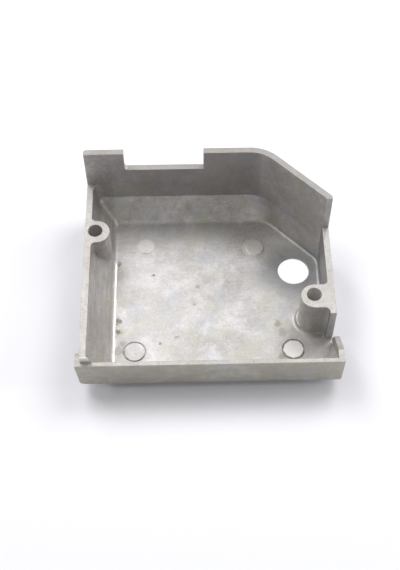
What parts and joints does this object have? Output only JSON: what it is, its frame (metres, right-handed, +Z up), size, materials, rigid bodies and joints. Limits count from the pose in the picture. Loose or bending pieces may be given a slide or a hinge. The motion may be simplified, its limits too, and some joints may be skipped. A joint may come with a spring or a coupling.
{
  "type": "die cast housing",
  "caption": "Shallow die-cast tray housing with stepped walls, a cut-off corner, a wide front lip with ears, and blind screw bosses.",
  "frame": {"origin": "middle of the part's outer box, at the level of the flat base it lies on", "axes": "+X across the width towards the side wall with the cut-out, +Y from the front lip to the tall back wall, +Z up, away from the base"},
  "size_m": [0.0572, 0.0484, 0.0229],
  "materials": {
    "cast_metal": "as-cast satin, bare, with light stains"
  },
  "bodies": {
    "root": {"housing": "cast_metal"}
  },
  "joints": []
}
